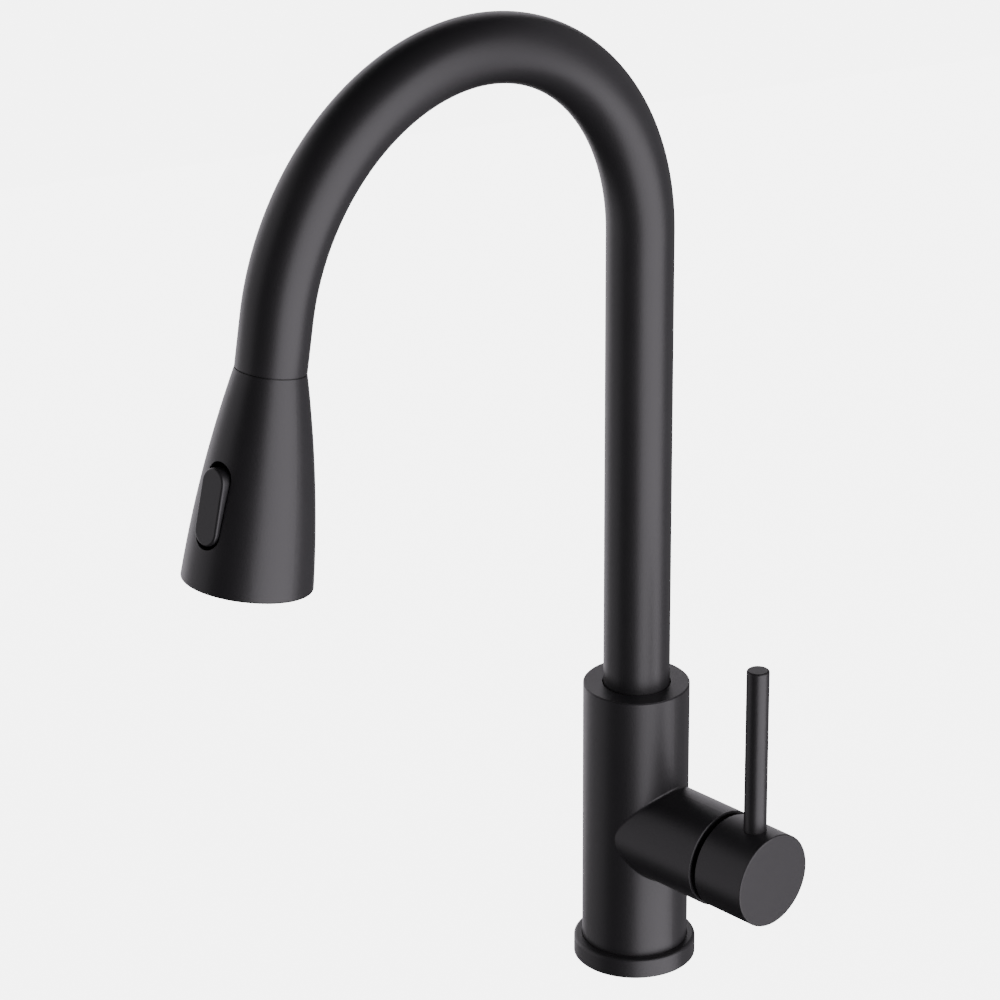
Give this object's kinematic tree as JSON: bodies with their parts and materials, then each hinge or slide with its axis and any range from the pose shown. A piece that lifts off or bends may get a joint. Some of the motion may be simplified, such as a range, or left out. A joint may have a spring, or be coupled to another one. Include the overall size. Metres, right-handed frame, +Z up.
{
  "type": "kitchen faucet",
  "caption": "Pull-down kitchen faucet: column body with side lever, swivelling gooseneck, docked spray head on its hose, and a threaded shank clamped under the deck.",
  "frame": {"origin": "axis of the body where it meets the deck surface, under the base ring", "axes": "+Z up along the body, -Y towards the user along the spout, +X along the side branch to the lever knob"},
  "size_m": [0.108, 0.2668, 0.5024],
  "materials": {
    "black_metal": "matte black coating",
    "black_plastic": "matte black",
    "grey_plastic": "moulded",
    "white_plastic": "acetal",
    "silicone": "soft",
    "rubber": "matte",
    "brass": "machined",
    "steel": "plain",
    "ceramic": "lapped",
    "hose": "nylon braid"
  },
  "bodies": {
    "faucet_base": {"body_casting": "black_metal", "base_ring": "black_metal", "base_gasket": "rubber", "threaded_shank": "brass", "rubber_washer": "rubber", "steel_washer": "steel", "mounting_nut": "grey_plastic", "waterway_block": "brass", "thrust_washer": "white_plastic", "upper_glide_ring": "white_plastic", "spout_keeper_screw": "steel", "hose_riser": "hose", "cartridge_seals": "rubber", "cartridge_base": "grey_plastic", "fixed_disc": "ceramic", "cartridge_housing": "grey_plastic", "cartridge_nut": "brass", "bonnet": "black_metal"},
    "spout": {"spout_tube": "black_metal", "spout_foot": "brass", "lower_glide_ring": "white_plastic", "outlet_bush": "black_plastic", "spray_hose": "hose"},
    "cartridge_rotor": {"stem_guide": "white_plastic", "stem_pivot_pin": "steel"},
    "disc_slider": {"disc_carrier": "white_plastic", "moving_disc": "ceramic"},
    "handle": {"stem": "brass", "lever_knob": "black_metal", "knob_grub_screw": "steel", "lever_rod": "black_metal"},
    "hose_end": {"hose_ferrule": "brass"},
    "spray_head": {"head_shell": "black_plastic", "spray_core": "grey_plastic", "docking_collar": "black_plastic", "hose_nut": "brass", "hose_washer": "rubber", "inlet_screen": "steel", "check_valve": "white_plastic", "button_frame": "black_plastic", "rocker_pin": "steel", "nozzle_mat": "silicone", "spray_face": "black_plastic", "aerator": "black_plastic", "aerator_insert": "grey_plastic"},
    "button": {"spray_button": "black_plastic"},
    "diverter": {"diverter_spool": "white_plastic", "spool_seals": "rubber"}
  },
  "joints": [
    {"name": "spout_swivel", "type": "hinge", "parent": "faucet_base", "child": "spout", "pos_m": [0, 0, 0.1], "axis": [0, 0, 1], "range_deg": [-180, 180]},
    {"name": "spray_pull", "type": "slide", "parent": "spout", "child": "hose_end", "axis": [0, -0.1736, -0.9848], "range_m": [0, 0.4], "stiffness_N_per_m": 6, "springref_m": -1.2},
    {"name": "head_spin", "type": "hinge", "parent": "hose_end", "child": "spray_head", "pos_m": [0, -0.19898, 0.32741], "axis": [0, -0.1736, -0.9848], "continuous": true},
    {"name": "button_rock", "type": "hinge", "parent": "spray_head", "child": "button", "pos_m": [0, -0.22362, 0.27865], "axis": [-1, 0, 0], "range_deg": [0, 8]},
    {"name": "diverter_slide", "type": "slide", "parent": "spray_head", "child": "diverter", "axis": [0, -0.1736, -0.9848], "range_m": [0, 0.00172]},
    {"name": "handle_temperature", "type": "hinge", "parent": "faucet_base", "child": "cartridge_rotor", "pos_m": [0, 0, 0.064], "axis": [1, 0, 0], "range_deg": [-45, 45]},
    {"name": "handle_flow", "type": "hinge", "parent": "cartridge_rotor", "child": "handle", "pos_m": [0.0325, 0, 0.064], "axis": [0, 1, 0], "range_deg": [0, 25]},
    {"name": "disc_shift", "type": "slide", "parent": "cartridge_rotor", "child": "disc_slider", "axis": [0, 0, 1], "range_m": [0, 0.00325]}
  ],
  "couplings": [
    {"joint": "diverter_slide", "follows": "button_rock", "m_per_rad": 0.01229},
    {"joint": "disc_shift", "follows": "handle_flow", "m_per_rad": 0.0074407}
  ]
}
